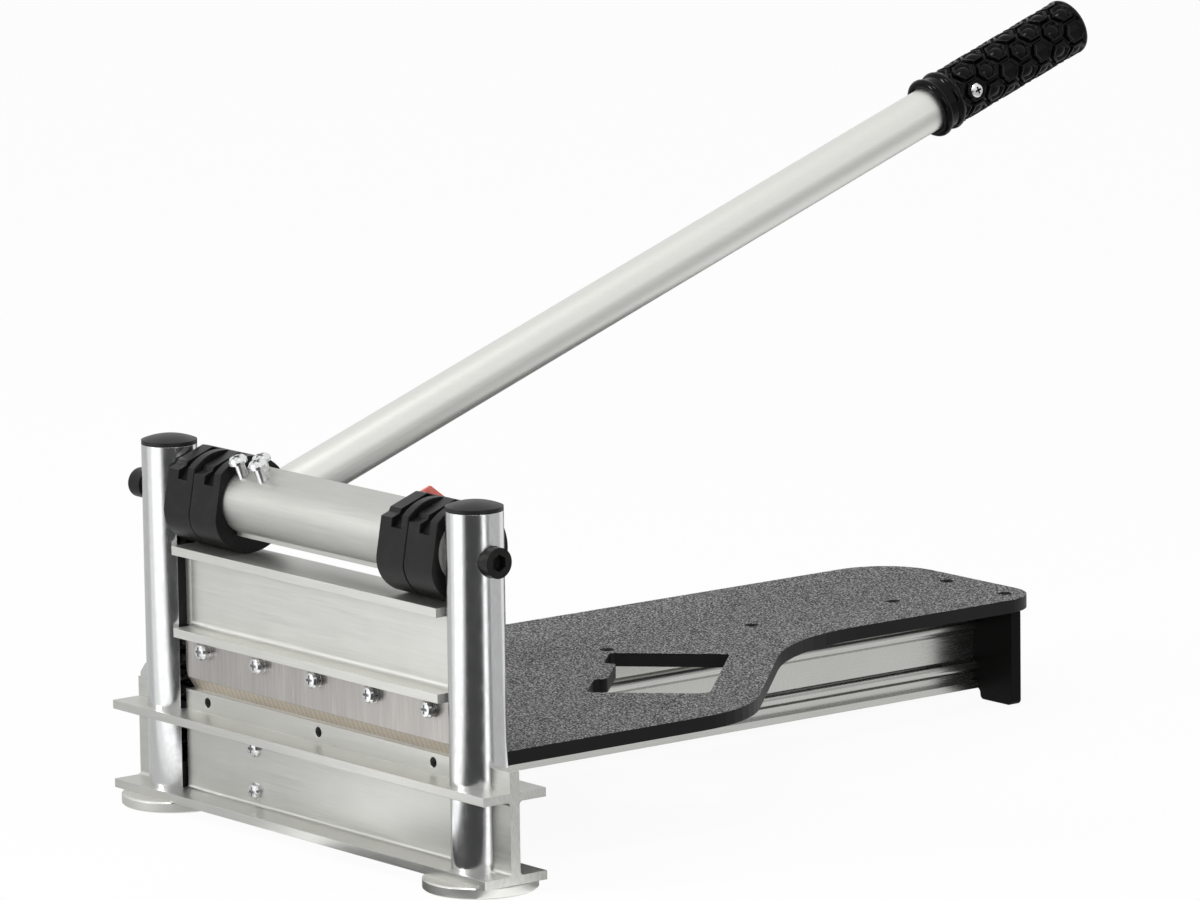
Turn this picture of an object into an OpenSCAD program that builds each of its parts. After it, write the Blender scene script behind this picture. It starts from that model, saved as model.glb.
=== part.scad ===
// Bench guillotine cutter for laminate flooring, in millimetres.
// X runs along the blade, Y from the blade to the rear foot, Z is up, and the origin is below the
// middle of the object, on the surface that it stands on.

/* [Base beam] */
// Length of the base beam along the blade
beam_len = 329; // [300:1:360]
// Distance from each post's axis to the end of the beam
beam_overhang = 30; // [28:0.5:36]
// Depth of the beam's flanges, front to back
beam_depth = 40; // [38:1:50]
// Thickness of the beam's two flanges
beam_flange_t = 4.7; // [3:0.1:6]
// Height of the beam over its two flanges
beam_h = 48; // [46:1:56]
// Thickness of the beam's web and of the lip above it
beam_web_t = 6; // [5:0.5:7]
// Height of the lip above the upper flange
lip_h = 10.9; // [10:0.1:13]
// Radius of the fillets between web and flanges
beam_fillet_r = 2; // [1:0.5:2]
// Distance from each post's axis to the nearest hole in the lip
lip_hole_inset = 34.5; // [30:0.5:44]
// Diameter of the holes in the lip
lip_hole_d = 5.5; // [4:0.1:6.5]
// Height of the lip's holes above the upper flange
lip_hole_rise = 5.9; // [5:0.1:6.5]

/* [Feet] */
// Diameter of the foot discs
foot_d = 60; // [50:1:60]
// Thickness of the foot discs
foot_t = 6; // [5:0.5:10]
// Edge chamfer of the foot discs
foot_chamfer = 0.8; // [0.3:0.1:1.5]
// Shank diameter of the foot screws
foot_screw_d = 8; // [6:0.5:10]
// Head diameter of the countersunk foot screws
foot_head_d = 15; // [14:0.5:18]
// Height of the threaded plug in the bottom of each post
plug_h = 14; // [10:1:20]

/* [Posts] */
// Outer diameter of the posts
post_d = 30; // [29:0.5:32]
// Wall of the posts
post_wall = 2; // [1.5:0.1:2.5]
// Length of the posts
post_len = 185.3; // [165:0.1:200]
// Width of the slot in the inner side of each post
slot_w = 12; // [12:0.5:14]
// Distance from the top of the post to its slot
slot_drop = 38.3; // [37:0.1:41]
// Height of the rim of the post caps
cap_rim_h = 2.2; // [1.5:0.1:4]
// Height of the dome on the post caps
cap_dome_h = 3; // [1:0.1:5]
// Depth of the cap's stem in the post
cap_stem_h = 11; // [6:1:12]

/* [Blade] */
// Distance from each post's axis to the end of the blade
blade_inset = 15.5; // [15.5:0.5:25]
// Thickness of the blade
blade_t = 3; // [2:0.5:4]
// Height of the blade
blade_h = 29.2; // [28:0.1:30]
// Height of the front bevel
bevel_h = 6.3; // [4:0.1:8]
// Width of the cut corners at the ends of the edge
blade_corner_w = 4; // [2:0.5:8]
// Height of the cut corners at the ends of the edge
blade_corner_h = 10; // [6:0.5:12]
// Gap between the edge and the lip with the lever down
edge_gap = 0.4; // [0.3:0.1:1.2]

/* [Blade screws] */
// Distance of the outer blade screws from the ends of the blade
blade_screw_inset = 19; // [15:0.5:30]
// Number of blade screws
blade_screw_count = 5; // [3:2:5]
// Shank diameter of the blade screws
blade_screw_d = 5; // [4:0.5:6]
// Head diameter of the blade screws
blade_head_d = 9.6; // [8.5:0.1:11]
// Head height of the blade screws
blade_head_h = 3.4; // [2.5:0.1:4]
// Depth of the blade screws below the top of the blade
blade_screw_drop = 6.2; // [6:0.1:7]
// Thickness of the plain washers under the blade screws
washer_t = 1; // [0.8:0.1:1.5]
// Thickness of the split washers under the blade screws
split_washer_t = 1.3; // [1:0.1:1.6]

/* [Blade carrier] */
// Gap between each post and the ends of the carrier's flanges
carrier_gap = 2.5; // [2:0.1:6]
// Thickness of the carrier's flanges
carrier_flange_t = 4.8; // [3:0.1:6]
// Reach of the flanges in front of the blade's back
carrier_front = 12.3; // [11:0.1:14]
// Reach of the flanges behind the blade's back
carrier_rear = 18.3; // [16:0.1:20]
// Thickness of the carrier's web
carrier_web_t = 5.6; // [4.5:0.1:5.6]
// Depth of the stub below the lower flange, which holds the blade
stub_h = 16; // [13:0.5:18]
// Radius of the carrier's fillets
carrier_fillet_r = 3; // [1.5:0.5:5]

/* [Guides and springs] */
// Reach of the web's tongues into each post
tongue_reach = 6.5; // [5:0.1:7]
// Floor of the guide shoes below the tongue
shoe_floor = 3; // [2:0.5:5]
// Wire diameter of the lift springs
spring_wire_d = 2; // [1.5:0.1:2.5]
// Mean diameter of the lift springs
spring_d = 20; // [17:0.5:21]
// Number of curls of each lift spring
spring_curls = 8; // [6:1:10]

/* [Crossbar] */
// Distance from the top of the posts down to the pivot
pivot_drop = 24.8; // [24:0.1:26]
// Diameter of the round crossbar
bar_d = 35.4; // [34:0.1:36]
// Distance of the bar's axis behind the pivot
bar_back = 6.7; // [6:0.1:7.5]
// Height of the bar's axis above the pivot
bar_up = 0.8; // [0:0.1:1.5]
// Wall of the hollow bar
bar_wall = 3.5; // [3:0.1:4.5]
// Distance between each end of the bar and its post
bar_end_gap = 2; // [1.5:0.1:4]
// Length of the flat pad behind the bar's crown
pad_reach = 10.2; // [8:0.1:11]
// Distance of the pad's flat from the bar's axis
pad_height = 17.5; // [17:0.1:17.7]
// Width of the rib below the bar
rib_w = 4; // [3:0.1:5]
// Width of the groove beside the rib
groove_w = 3; // [2:0.1:3.5]
// Depth of the groove beside the rib
groove_depth = 3; // [2:0.1:3.4]
// Radius of the boss around the pivot bore
boss_r = 8.5; // [7.5:0.1:9.5]

/* [Cams] */
// Width of each cam ring
cam_w = 23.6; // [20:0.1:23.6]
// Distance between the outer cam and its post
cam_end_gap = 1; // [0.8:0.1:2]
// Distance from the pivot to the bottom of the cams
cam_reach = 26.9; // [26.5:0.1:28]
// Radius of the cam rings
cam_r = 26; // [25.5:0.1:27]
// Drop of the carrier for each radian of the lever
cam_rate = 7.2; // [6:0.1:7.5]
// Width of the flat strap on each cam
strap_w = 9.4; // [7:0.1:11]
// Width of the channel beside the strap
channel_w = 8.4; // [6:0.1:9]
// Distance of the strap's flat from the bar's axis
strap_height = 21.3; // [20.5:0.1:22]
// Width of the groove between two cams
cam_groove = 0.3; // [0.3:0.1:0.6]

/* [Pivot bolts] */
// Shank diameter of the pivot bolts
pivot_d = 10; // [9:0.5:11]
// Length of the bolts under their heads
pivot_len = 50; // [46:1:60]
// Diameter of the socket heads
socket_head_d = 16; // [14:0.5:16.5]
// Height of the socket heads
socket_head_h = 10; // [8:0.5:12]
// Width across the flats of the sockets
socket_af = 8; // [6:0.5:9]
// Depth of the sockets
socket_depth = 5; // [3:0.5:6]
// Length of bare shank between the left post and its bolt's head
left_standoff = 3; // [1:0.1:3.3]

/* [Lever] */
// Outer diameter of the lever tube
lever_d = 25.4; // [24:0.1:26]
// Wall of the lever tube
lever_wall = 1.8; // [1.5:0.1:3]
// Gap between the lever and the cam beside it
lever_gap = 2.6; // [2:0.1:4]
// Rise of the lever above level, in degrees
lever_rise = 20; // [18:0.5:22]
// Distance from the bar's axis to the end of the grip
lever_reach = 602.8; // [560:0.1:640]
// Depth of the tube past the bar's axis
lever_inset = 6; // [5:0.5:7]
// Distance of the lever's axis above the bar's axis
lever_lift = 0.5; // [0:0.1:1.4]

/* [Clamp screws] */
// Shank diameter of the clamp screws
clamp_screw_d = 6; // [5:0.1:6.5]
// Head diameter of the clamp screws
clamp_head_d = 10.3; // [9:0.1:11]
// Head height of the clamp screws
clamp_head_h = 3.6; // [3:0.1:4.5]
// Distance of the two front screws from the lever's axis
clamp_spread = 8.9; // [8:0.1:9.5]
// Height of the front screws' heads above the pad
clamp_proud = 8; // [7:0.1:10]
// Height of the rear screw's head above the pad
clamp_rear_proud = 5.9; // [4:0.1:8]
// Distance of the front screws in front of the bar's crown
clamp_ahead = 2.7; // [1.5:0.1:3]
// Distance of the rear screw behind the front ones
clamp_step = 8.4; // [7:0.1:8.5]

/* [Grip] */
// Length of the grip
grip_len = 113.1; // [100:0.1:130]
// Diameter of the grip's body
grip_d = 32.4; // [31:0.1:34]
// Diameter of the first ring
ring_one_d = 34.8; // [33:0.1:37]
// Diameter of the second ring
ring_two_d = 34.6; // [33:0.1:37]
// Width of the two rings
ring_w = 5.4; // [4:0.1:8]
// Distance between the two rings
ring_pitch = 9.6; // [8:0.1:16]
// Diameter of the rim at the end of the grip
grip_rim_d = 32.8; // [32.4:0.1:35]
// Edge radius of the rim
grip_rim_r = 3; // [2:0.1:5]
// Thickness of the grip's closed end
grip_end_t = 3; // [2:0.5:5]
// Distance of the grip's screw from its front end
grip_screw_at = 25.2; // [22:0.1:50]
// Angle of the grip's screw above level, in degrees
grip_screw_angle = 7; // [0:1:20]

/* [Table] */
// Reach of the board past the left post's axis
board_left_reach = 16.5; // [14:0.5:20]
// Distance of the board's right edge inside the right post's axis
board_right_inset = 18; // [16:0.5:24]
// Distance from the middle of the beam to the board's rear edge
board_rear = 517.5; // [510:0.5:530]
// Thickness of the board
board_t = 7.5; // [7:0.5:9]
// Height of the board above the upper flange, where the rail carries it
board_lift = 1.5; // [0.5:0.1:2]
// Distance of the narrow part's right edge left of the middle
board_waist = 15; // [12:1:18]
// Distance of the slanted edge from the middle of the beam
board_slant = 221; // [218:0.5:226]
// Radius of the outer bend of the slanted edge
bend_outer_r = 80; // [50:1:100]
// Radius of the inner bend of the slanted edge
bend_inner_r = 120; // [80:1:140]
// Radius of the board's rear left corner
corner_left_r = 38; // [20:1:45]
// Radius of the board's rear right corner
corner_right_r = 26; // [20:1:32]

/* [Window] */
// Width of the slanted window
window_w = 66; // [56:1:70]
// Length of the slanted window
window_len = 106; // [90:1:110]
// Distance from the middle of the beam to the window's near side, square to the slant
window_near = 128; // [124:1:132]
// Offset of the window's right end along the slant
window_start = 92; // [88:1:96]
// Width of the tongue in the window
tab_w = 42; // [30:1:50]
// Offset of the tongue from the window's right end
tab_start = 35; // [30:1:40]
// Length of the tongue
tab_len = 7; // [5:0.5:10]
// Radius of the window's right corner
window_big_r = 8; // [5:0.5:12]
// Radius of the window's other corners
window_r = 3; // [2:0.5:4]

/* [Rail and rear foot] */
// Distance of the rail left of the middle
rail_left = 57.3; // [55:0.1:60]
// Diameter of the rail's screw beads
bead_d = 9; // [8:0.5:10]
// Wall of the rail between its beads
rail_wall = 3; // [2:0.5:4]
// Width of the rail's top and foot
rail_w = 12; // [10:0.5:14]
// Height of the upper screw bead
bead_high = 42.2; // [41:0.1:43]
// Height of the lower screw bead
bead_low = 18.8; // [17:0.1:20]
// Shank diameter of the screws in the beads
web_screw_d = 5; // [4:0.5:5.5]
// Head diameter of the screws in the beads
web_head_d = 9.5; // [8:0.1:10]
// Head height of the screws in the beads
web_head_h = 3.2; // [2.5:0.1:4]
// Width of the rear foot plate
rear_w = 69; // [60:1:75]
// Thickness of the rear foot plate
rear_t = 7; // [5:0.5:9]
// Distance from the board's rear edge to the foot plate
rear_setback = 12; // [8:0.5:16]
// Width of the sole at the right of the foot plate
sole_w = 27; // [22:0.5:30]
// Corner radius of the foot plate
rear_r = 3; // [2:0.5:4]

/* [Table screws] */
// Shank diameter of the table screws
table_screw_d = 4.5; // [4:0.1:5]
// Head diameter of the table screws
table_head_d = 8; // [7:0.1:9]
// Depth of the head's cone
table_head_h = 2.4; // [2:0.1:3]
// Length of the table screws
table_screw_len = 20; // [16:1:22]
// Distance between the table screws along the rail
table_screw_pitch = 102.7; // [95:0.1:105]
// Number of table screws along the rail
table_screw_count = 4; // [2:1:4]
// Distance from the middle of the beam to the last screw along the rail
table_screw_last = 440; // [430:1:450]
// Distance between the two screws above the rear foot
rear_screw_pitch = 50; // [44:1:54]

/* [Small tabs] */
// Thickness of the red tab
red_t = 1.5; // [1:0.1:3]
// Height of the red tab above the cam
red_h = 2.8; // [2:0.1:4]
// Reach of the red tab in front of its middle and behind it
red_front = 8.1; // [6:0.1:10]
red_back = 6; // [4:0.1:8]
// Thickness of the tab at the end of the lip
end_tab_t = 3; // [2:0.5:4]
// Length of the tab at the end of the lip
end_tab_len = 12; // [9:0.5:13]
// Height of the tab at the end of the lip
end_tab_h = 9; // [6:0.5:12]

/* [Hidden] */
$fn = 48;
// Overrun of every cut
over = 1;
// Gap between pieces that slide or roll past each other
run_gap = 0.3;
// Gap around pieces that are fixed in a bore
fit_gap = 0.05;
// Gap between pieces that are pushed into each other
seat_gap = 0.1;
// Steps of the computed curves, in degrees
arc_step = 6;
cam_step = 5;
// Angles of the cam's working flank, measured from the pivot
flank_low = -86;
flank_high = -186;
// Angle at which the ring's crown starts above the flank
crown_start = 136;
// Shares of a pan head's profile: width and height of its shoulder and crown
pan_shoulder_share = 0.45;
pan_round_w_share = 0.8;
pan_round_h_share = 0.85;
pan_crown_share = 0.4;
// Shares of a head's diameter for the arms of its cross recess
cross_len_share = 0.52;
cross_w_share = 0.14;
cross_depth_share = 0.55;
// Depth of the countersunk heads below the surface
sink = 0.4;
// Width of the cut in the split washers
split_cut = 0.8;
// Length of the board's pilot holes behind the lip
pilot_depth = 14;
// Height of the rail's top and foot
rail_top_h = 6.6;
rail_foot_h = 4;
// Bore of the screw beads
bead_bore_gap = 0.05;
// Depth of the web screws behind the beam's web
web_screw_reach = 18;
// Length of the screws between the rear foot and the rail
rear_bolt_reach = 16;
// Share of the sole's height that each of its bends can take
step_share = 0.48;
// Step in the strap near its tip: where it starts, and its height below the flat
strap_step_at = 7.5;
strap_step_h = 1.7;
strap_ramp = 2;
// Floor of the channel over the bar
channel_floor = 1.4;
// Lip of the channel above the bar's axis, and where the channel ends behind it
channel_lip = 9.4;
channel_end = 12;
// Steps between the rings of the springs and sides of their wire
spring_rings = 8;
spring_sides = 6;
// Groove between the grip's rings
ring_waist_d = 31.4;
// Radius of the rounded tip on the tab at the end of the lip
end_tab_nose_r = 2;
end_tab_foot_h = 2;
// Radius of the red tab's corners
red_r = 0.6;
// Distance of the red tab from the left side of its cam
red_inset = 1;
// Angle of the red tab's middle around the cam
red_angle = 52.5;
// Lean of the red tab's front edge, as a share of its height
red_lean_share = 0.63;
// Length of the lever's screw inside the grip
grip_screw_d = 4;
grip_head_d = 8;
grip_head_h = 2.4;
grip_screw_len = 9;
grip_screw_sink = 1;

flange_top_z = foot_t + beam_flange_t;
beam_top_z = foot_t + beam_h;
lip_top_z = beam_top_z + lip_h;
post_x = beam_len / 2 - beam_overhang;
post_r = post_d / 2;
bore_r = post_r - post_wall;
post_top_z = flange_top_z + post_len;
slot_h = post_len - slot_drop;
lip_hole_pitch = post_x - lip_hole_inset;
blade_z = lip_top_z + edge_gap;
carrier_z = blade_z + blade_h;
pivot_z = post_top_z - pivot_drop;
carrier_top_z = pivot_z - cam_reach - run_gap;
carrier_h = carrier_top_z - carrier_z;
carrier_open_h = carrier_h - 2 * carrier_flange_t;
carrier_half = post_x - post_r - carrier_gap;
blade_half = post_x - blade_inset;
blade_screw_pitch = 2 * (blade_half - blade_screw_inset) / (blade_screw_count - 1);
tongue_z = carrier_z + carrier_flange_t;
// Half the length of the web, whose tongues run into the posts
tongue_x = post_x - bore_r + tongue_reach - run_gap;
blade_screw_z = carrier_z - blade_screw_drop;
shoe_z = tongue_z - shoe_floor;
shoe_h = carrier_open_h;
shoe_r = bore_r - run_gap;
plug_top_z = flange_top_z + plug_h;
bar_y = bar_back;
bar_z = pivot_z + bar_up;
bar_r = bar_d / 2;
bar_half = post_x - post_r - bar_end_gap;
cam_outer_x = post_x - post_r - cam_end_gap;
cam_inner_x = cam_outer_x - 2 * cam_w - cam_groove;
// Seat of the pivot sleeves against the curved wall of the posts
sleeve_r = socket_head_d / 2;
sleeve_half = sqrt(bore_r * bore_r - sleeve_r * sleeve_r) - fit_gap;
lever_r = lever_d / 2;
grip_start = lever_reach - grip_len;
clamp_x = lever_r + lever_gap - cam_inner_x;
board_left = post_x + board_left_reach;
board_right = post_x - board_right_inset;
board_y = beam_web_t / 2;
board_z = beam_top_z + board_lift;
board_top_z = board_z + board_t;
rear_y = board_rear - rear_setback - rear_t;
// Middle of the object from front to back: the foot discs lead, the rim of the grip trails
rear_most = bar_y - lever_lift * sin(lever_rise) + (lever_reach - grip_rim_r) * cos(lever_rise)
    + (grip_rim_d / 2 - grip_rim_r) * sin(lever_rise) + grip_rim_r;
middle_y = (rear_most - foot_d / 2) / 2;

// A point at a radius and an angle
function polar(radius, angle) = [radius * cos(angle), radius * sin(angle)];

function unit(v) = v / norm(v);

// Arc that rounds the corner b between a and c
function corner_arc(a, b, c, r) =
    let (
        p = unit(a - b),
        q = unit(c - b),
        half = acos(p * q) / 2,
        mid = b + unit(p + q) * r / sin(half),
        first = b + p * r / tan(half),
        last = b + q * r / tan(half),
        from = atan2(first[1] - mid[1], first[0] - mid[0]),
        to = atan2(last[1] - mid[1], last[0] - mid[0]),
        turn = to - from > 180 ? to - from - 360 : to - from < -180 ? to - from + 360 : to - from,
        steps = max(2, ceil(abs(turn) / arc_step))
    )
    [for (i = [0 : steps]) mid + polar(r, from + turn * i / steps)];

// Outline with a radius for each corner
function rounded(points, radii) =
    let (n = len(points))
    [for (i = [0 : n - 1])
        each corner_arc(points[(i + n - 1) % n], points[i], points[(i + 1) % n], radii[i])];

// Point on the slanted axes of the table: u square to the slant, v along it
function slanted(u, v) = [(u - v) / sqrt(2), (u + v) / sqrt(2)];

// Point of the cam's working flank: its support distance grows evenly with the angle
function cam_support(angle) = cam_reach + cam_rate * (angle + 90) * PI / 180;
function flank_point(angle) =
    polar(cam_support(angle), angle) + cam_rate * [-sin(angle), cos(angle)];

// Middle of the ring, which carries on the flank where it ends
cam_middle = flank_point(flank_low) - polar(cam_r, flank_low);

// Extrusion along X of an outline that is drawn with Y to the right and Z up
module along_x(from, length) {
    translate([from, 0, 0]) rotate([90, 0, 90]) linear_extrude(length) children();
}

// Extrusion along Y of an outline that is drawn with X to the right and Z up
module along_y(from, length) {
    translate([0, from + length, 0]) rotate([90, 0, 0]) linear_extrude(length) children();
}

// Round bar along X, Y or the rising lever
module rod_x(x, y, z, r, length) {
    translate([x, y, z]) rotate([0, 90, 0]) cylinder(h = length, r = r);
}

module rod_y(x, y, z, r, length) {
    translate([x, y, z]) rotate([-90, 0, 0]) cylinder(h = length, r = r);
}

// Everything is drawn about the middle of the beam and moved back to the middle of the object
module placed() {
    translate([0, -middle_y, 0]) children();
}

// Frame of the lever: origin on the bar's axis, Y along the lever, Z square to it
module lever_frame() {
    translate([0, bar_y, bar_z]) rotate([lever_rise, 0, 0]) children();
}

// Screw head with a crown, on the plane z = 0, pointing up
module pan_head(d, h) {
    r = d / 2;
    depth = h * cross_depth_share;
    difference() {
        rotate_extrude()
            polygon([[0, 0], [r, 0], [r, h * pan_shoulder_share],
                [r * pan_round_w_share, h * pan_round_h_share], [r * pan_crown_share, h], [0, h]]);
        for (turn = [0, 90])
            rotate([0, 0, turn])
                translate([-d * cross_len_share / 2, -d * cross_w_share / 2, h - depth])
                    cube([d * cross_len_share, d * cross_w_share, depth + over]);
    }
}

// Pan head screw with its shank below z = 0
module pan_screw(shank_d, head_d, head_h, reach) {
    pan_head(head_d, head_h);
    translate([0, 0, -reach]) cylinder(h = reach, d = shank_d);
}

// Countersunk screw with its flat head at z = 0
module flat_screw(shank_d, head_d, head_h, reach) {
    depth = head_h * cross_depth_share;
    difference() {
        union() {
            translate([0, 0, -head_h]) cylinder(h = head_h, d1 = shank_d, d2 = head_d);
            translate([0, 0, -reach]) cylinder(h = reach - head_h, d = shank_d);
        }
        for (turn = [0, 90])
            rotate([0, 0, turn])
                translate([-head_d * cross_len_share / 2, -head_d * cross_w_share / 2, -depth])
                    cube([head_d * cross_len_share, head_d * cross_w_share, depth + over]);
    }
}

// Hole for a countersunk screw whose head lies at z = 0
module flat_hole(shank_d, head_d, head_h, reach) {
    translate([0, 0, -head_h]) cylinder(h = head_h, d1 = shank_d + 2 * seat_gap, d2 = head_d + 2 * seat_gap);
    translate([0, 0, -seat_gap / 2]) cylinder(h = over, d = head_d + 2 * seat_gap);
    translate([0, 0, -reach - seat_gap]) cylinder(h = reach, d = shank_d + 2 * seat_gap);
}

// Inner fillets on both sides of a web, above or below a flange
module web_fillets(web_y, web_w, z, r, up) {
    for (side = [-1, 1])
        translate([web_y + side * web_w / 2, z])
            difference() {
                translate([side > 0 ? 0 : -r, up > 0 ? 0 : -r]) square(r);
                translate([side * r, up * r]) circle(r = r);
            }
}

// Beam: two flanges, a web and the lip on which the blade lands
module beam_section() {
    translate([-beam_depth / 2, foot_t]) square([beam_depth, beam_flange_t]);
    translate([-beam_depth / 2, beam_top_z - beam_flange_t]) square([beam_depth, beam_flange_t]);
    translate([-beam_web_t / 2, foot_t]) square([beam_web_t, beam_h + lip_h]);
    web_fillets(0, beam_web_t, flange_top_z, beam_fillet_r, 1);
    web_fillets(0, beam_web_t, beam_top_z - beam_flange_t, beam_fillet_r, -1);
}

module lower_beam() {
    color("gainsboro") placed() difference() {
        along_x(-beam_len / 2, beam_len) beam_section();
        for (side = [-1, 1]) {
            translate([side * post_x, 0, flange_top_z])
                cylinder(h = beam_h + lip_h, r = post_r + fit_gap);
            translate([side * post_x, 0, foot_t - over])
                cylinder(h = beam_flange_t + 2 * over, r = foot_screw_d / 2 + seat_gap);
        }
        for (step = [-1 : 1])
            rod_y(step * lip_hole_pitch, -beam_web_t, beam_top_z + lip_hole_rise, lip_hole_d / 2,
                2 * beam_web_t);
        for (z = [bead_low, bead_high])
            rod_y(-rail_left, -beam_web_t, z, web_screw_d / 2 + seat_gap, 2 * beam_web_t);
    }
}

// Slotted tube, with its slot on the side towards the blade
module post(side, outer_hole_r) {
    translate([side * post_x, 0, 0]) difference() {
        translate([0, 0, flange_top_z]) cylinder(h = post_len, r = post_r);
        translate([0, 0, flange_top_z - over]) cylinder(h = post_len + 2 * over, r = bore_r);
        translate([side > 0 ? -post_d : 0, -slot_w / 2, flange_top_z - over])
            cube([post_d, slot_w, slot_h + over]);
        rod_x(side > 0 ? -post_d : 0, 0, pivot_z, pivot_d / 2 + seat_gap, post_d);
        rod_x(side > 0 ? 0 : -post_d, 0, pivot_z, outer_hole_r, post_d);
    }
}

module left_post() {
    color("silver") placed() post(-1, pivot_d / 2 + seat_gap);
}

module right_post() {
    color("silver") placed() post(1, socket_head_d / 2 + 2 * seat_gap);
}

// Domed cap with a stem in the tube
module post_cap(side) {
    dome_r = (post_r * post_r + cap_dome_h * cap_dome_h) / (2 * cap_dome_h);
    translate([side * post_x, 0, post_top_z]) {
        cylinder(h = cap_rim_h, r = post_r);
        translate([0, 0, -cap_stem_h]) cylinder(h = cap_stem_h, r = bore_r - seat_gap);
        intersection() {
            translate([0, 0, cap_rim_h + cap_dome_h - dome_r]) sphere(r = dome_r, $fn = 96);
            translate([0, 0, cap_rim_h - seat_gap]) cylinder(h = cap_dome_h + over, r = post_r);
        }
    }
}

module left_post_cap() {
    color("dimgray") placed() post_cap(-1);
}

module right_post_cap() {
    color("dimgray") placed() post_cap(1);
}

module foot_disc(side) {
    r = foot_d / 2;
    translate([side * post_x, 0, 0]) difference() {
        rotate_extrude()
            polygon([[0, 0], [r - foot_chamfer, 0], [r, foot_chamfer], [r, foot_t - foot_chamfer],
                [r - foot_chamfer, foot_t], [0, foot_t]]);
        translate([0, 0, sink]) rotate([180, 0, 0])
            flat_hole(foot_screw_d, foot_head_d, (foot_head_d - foot_screw_d) / 2, 2 * foot_t);
    }
}

module left_foot_disc() {
    color("lightgray") placed() foot_disc(-1);
}

module right_foot_disc() {
    color("lightgray") placed() foot_disc(1);
}

module foot_screws() {
    color("darkslategray") placed()
        for (side = [-1, 1])
            translate([side * post_x, 0, sink]) rotate([180, 0, 0])
                flat_screw(foot_screw_d, foot_head_d, (foot_head_d - foot_screw_d) / 2,
                    plug_top_z - sink - foot_t / 2);
}

// Threaded plug that the foot screw pulls down into the post
module post_plug(side) {
    translate([side * post_x, 0, flange_top_z]) difference() {
        cylinder(h = plug_h, r = bore_r - seat_gap);
        translate([0, 0, -over]) cylinder(h = plug_h + 2 * over, r = foot_screw_d / 2 + fit_gap);
    }
}

module left_post_plug() {
    color("dimgray") placed() post_plug(-1);
}

module right_post_plug() {
    color("dimgray") placed() post_plug(1);
}

// Carrier: a channel on edge, whose web reaches through the slots of both posts
module carrier_section() {
    translate([-carrier_front, carrier_z]) square([carrier_front + carrier_rear, carrier_flange_t]);
    translate([-carrier_front, carrier_top_z - carrier_flange_t])
        square([carrier_front + carrier_rear, carrier_flange_t]);
    translate([0, carrier_z - stub_h]) square([carrier_web_t, stub_h + carrier_h]);
    web_fillets(carrier_web_t / 2, carrier_web_t, tongue_z, carrier_fillet_r, 1);
    web_fillets(carrier_web_t / 2, carrier_web_t, tongue_z + carrier_open_h, carrier_fillet_r, -1);
}

module blade_carrier() {
    color("gainsboro") placed() difference() {
        union() {
            along_x(-carrier_half, 2 * carrier_half) carrier_section();
            translate([-tongue_x, 0, tongue_z]) cube([2 * tongue_x, carrier_web_t, carrier_open_h]);
        }
        blade_screw_places()
            rod_y(0, -over, 0, blade_screw_d / 2 + fit_gap, carrier_web_t + 2 * over);
    }
}

module blade_screw_places() {
    last = (blade_screw_count - 1) / 2;
    for (step = [-last : last])
        translate([step * blade_screw_pitch, 0, blade_screw_z]) children();
}

module blade() {
    half = blade_half;
    color("tan") placed() difference() {
        along_x(-half, 2 * half)
            polygon([[0, blade_z], [0, carrier_z], [-blade_t, carrier_z], [-blade_t, blade_z + bevel_h]]);
        for (side = [-1, 1])
            along_y(-blade_t - over, blade_t + 2 * over)
                polygon([[side * half, blade_z + blade_corner_h],
                    [side * (half - blade_corner_w), blade_z],
                    [side * (half - blade_corner_w), blade_z - over],
                    [side * (half + over), blade_z - over],
                    [side * (half + over), blade_z + blade_corner_h]]);
        blade_screw_places()
            rod_y(0, -blade_t - over, 0, blade_screw_d / 2 + seat_gap, blade_t + 2 * over);
    }
}

module blade_screws() {
    stack = blade_t + washer_t + split_washer_t;
    color("silver") placed()
        blade_screw_places()
            translate([0, -stack, 0]) rotate([90, 0, 0])
                pan_screw(blade_screw_d, blade_head_d, blade_head_h, stack + carrier_web_t);
}

module blade_washers() {
    color("silver") placed()
        blade_screw_places()
            difference() {
                rod_y(0, -blade_t - washer_t, 0, blade_head_d / 2 + seat_gap, washer_t);
                rod_y(0, -blade_t - washer_t - over, 0, blade_screw_d / 2 + seat_gap, washer_t + 2 * over);
            }
}

module blade_split_washers() {
    front = blade_t + washer_t + split_washer_t;
    color("gray") placed()
        blade_screw_places()
            difference() {
                rod_y(0, -front, 0, blade_head_d / 2 - seat_gap, split_washer_t);
                rod_y(0, -front - over, 0, blade_screw_d / 2 + seat_gap, split_washer_t + 2 * over);
                translate([0, -front - over, -split_cut / 2])
                    cube([blade_head_d, split_washer_t + 2 * over, split_cut]);
            }
}

// Shoe that slides in a post and holds the tongue of the web in its groove
module guide_shoe(side) {
    groove_x = side > 0 ? tongue_x - post_x : -tongue_x + post_x;
    translate([side * post_x, 0, shoe_z]) difference() {
        cylinder(h = shoe_h, r = shoe_r);
        translate([side > 0 ? -post_d : groove_x - seat_gap, -seat_gap, shoe_floor])
            cube([side > 0 ? post_d + groove_x + seat_gap : post_d, carrier_web_t + 2 * seat_gap,
                shoe_h]);
    }
}

module left_guide_shoe() {
    color("dimgray") placed() guide_shoe(-1);
}

module right_guide_shoe() {
    color("dimgray") placed() guide_shoe(1);
}

spring_bottom = plug_top_z + spring_wire_d / 2 + run_gap;
spring_top = shoe_z - spring_wire_d / 2 - run_gap;
spring_steps = spring_curls * spring_rings;

function spring_point(i) = [
    spring_d / 2 * cos(360 * i / spring_rings),
    spring_d / 2 * sin(360 * i / spring_rings),
    spring_bottom + (spring_top - spring_bottom) * i / spring_steps
];

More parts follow.
